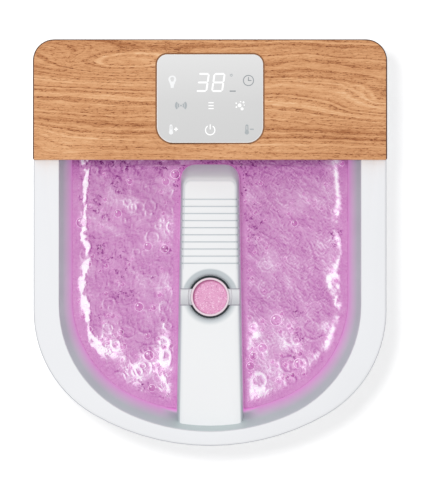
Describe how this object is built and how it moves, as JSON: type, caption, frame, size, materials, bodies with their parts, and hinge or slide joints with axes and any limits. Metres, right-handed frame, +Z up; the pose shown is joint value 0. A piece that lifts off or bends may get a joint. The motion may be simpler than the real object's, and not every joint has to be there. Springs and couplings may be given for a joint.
{
  "type": "foot spa basin",
  "caption": "Heated bubble foot bath: open basin with a centre bridge, massage rollers, a lift-out pedicure pad, and a wood-effect rear deck with a touch panel.",
  "frame": {"origin": "on the floor, under the middle of the body's footprint", "axes": "+Z up, +Y towards the rear deck with the touch panel, +X to the right when the deck is at the top of the plan"},
  "size_m": [0.4, 0.46, 0.205],
  "materials": {
    "housing_white": "moulded ABS, smooth satin gloss",
    "rim_white": "moulded ABS, smooth satin gloss",
    "tub_white": "moulded PP, fine satin",
    "base_white": "moulded ABS, light texture",
    "bed_white": "moulded PP with raised knobs",
    "wood": "oak-grain film under satin lacquer",
    "panel_grey": "back-printed acrylic, satin",
    "display_white": "diffusing light guide",
    "seal_grey": "silicone",
    "foot_rubber": "moulded rubber",
    "hose_grey": "silicone hose",
    "cord_white": "PVC cord jacket and plug",
    "wire_red": "silicone-insulated lead",
    "roller_grey": "moulded POM",
    "socket_dark": "charcoal moulded ABS",
    "cup_pink": "tinted moulded ABS",
    "pad_pink": "bonded mineral grit",
    "lens_clear": "diffusing polycarbonate",
    "board_green": "lacquered circuit board",
    "spring_brass": "bare brass",
    "screw_steel": "zinc-plated steel",
    "axle_steel": "stainless steel",
    "element_steel": "sheathed element",
    "motor_steel": "plated motor can",
    "bracket_steel": "folded plated sheet",
    "heater_aluminium": "plain aluminium plate",
    "dark_plastic": "glass-filled nylon",
    "impeller_white": "moulded PP"
  },
  "bodies": {
    "root": {"outer_housing": "housing_white", "rim_frame": "rim_white", "inner_tub": "tub_white", "tub_gasket": "seal_grey", "flange_screws": "screw_steel", "wood_cover": "wood", "cover_screws": "screw_steel", "touch_panel": "panel_grey", "control_board": "board_green", "display_module": "display_white", "touch_springs": "spring_brass", "control_board_screws": "screw_steel", "base_plate": "base_white", "rubber_feet": "foot_rubber", "base_screws": "screw_steel", "foot_bed_left": "bed_white", "foot_bed_right": "bed_white", "foot_bed_screws": "screw_steel", "attachment_socket": "socket_dark", "socket_seal": "seal_grey", "light_lenses": "lens_clear", "light_boards": "board_green", "heater_plates": "heater_aluminium", "heating_elements": "element_steel", "heater_clamps": "heater_aluminium", "thermal_cutout": "dark_plastic", "temperature_probe": "axle_steel", "vibration_motor": "motor_steel", "motor_bracket": "bracket_steel", "motor_bracket_screws": "screw_steel", "blower_housing": "dark_plastic", "blower_motor": "motor_steel", "air_hose": "hose_grey", "air_splitter": "dark_plastic", "side_hoses": "hose_grey", "check_valves": "dark_plastic", "power_board": "board_green", "power_board_screws": "screw_steel", "panel_ribbon": "seal_grey", "wire_leads": "wire_red", "power_cord": "cord_white", "cord_bush": "foot_rubber", "mains_plug": "cord_white"},
    "attachment": {"attachment_cup": "cup_pink", "abrasive_pad": "pad_pink"},
    "roller_set_left": {"roller_cradle_left": "bed_white", "roller_axles_left": "axle_steel"},
    "roller_set_right": {"roller_cradle_right": "bed_white", "roller_axles_right": "axle_steel"},
    "front_left_roller": {"front_roller_left": "roller_grey"},
    "rear_left_roller": {"rear_roller_left": "roller_grey"},
    "front_right_roller": {"front_roller_right": "roller_grey"},
    "rear_right_roller": {"rear_roller_right": "roller_grey"},
    "vibration_rotor": {"eccentric_weight": "spring_brass"},
    "blower_rotor": {"blower_impeller": "impeller_white"}
  },
  "joints": [
    {"name": "attachment_lift", "type": "slide", "parent": "root", "child": "attachment", "axis": [0, 0, 1], "range_m": [0, 0.06]},
    {"name": "roller_set_left_lift", "type": "slide", "parent": "root", "child": "roller_set_left", "axis": [0, 0, 1], "range_m": [0, 0.15]},
    {"name": "front_left_roller_spin", "type": "hinge", "parent": "roller_set_left", "child": "front_left_roller", "pos_m": [-0.091, -0.0418, 0.0825], "axis": [1, 0, 0], "continuous": true},
    {"name": "rear_left_roller_spin", "type": "hinge", "parent": "roller_set_left", "child": "rear_left_roller", "pos_m": [-0.091, -0.0182, 0.0825], "axis": [1, 0, 0], "continuous": true},
    {"name": "roller_set_right_lift", "type": "slide", "parent": "root", "child": "roller_set_right", "axis": [0, 0, 1], "range_m": [0, 0.15]},
    {"name": "front_right_roller_spin", "type": "hinge", "parent": "roller_set_right", "child": "front_right_roller", "pos_m": [0.091, -0.0418, 0.0825], "axis": [1, 0, 0], "continuous": true},
    {"name": "rear_right_roller_spin", "type": "hinge", "parent": "roller_set_right", "child": "rear_right_roller", "pos_m": [0.091, -0.0182, 0.0825], "axis": [1, 0, 0], "continuous": true},
    {"name": "vibration_spin", "type": "hinge", "parent": "root", "child": "vibration_rotor", "pos_m": [0, 0.02, 0.04], "axis": [0, 1, 0], "continuous": true},
    {"name": "blower_spin", "type": "hinge", "parent": "root", "child": "blower_rotor", "pos_m": [0.095, -0.092, 0.025], "axis": [0, 0, 1], "continuous": true}
  ]
}
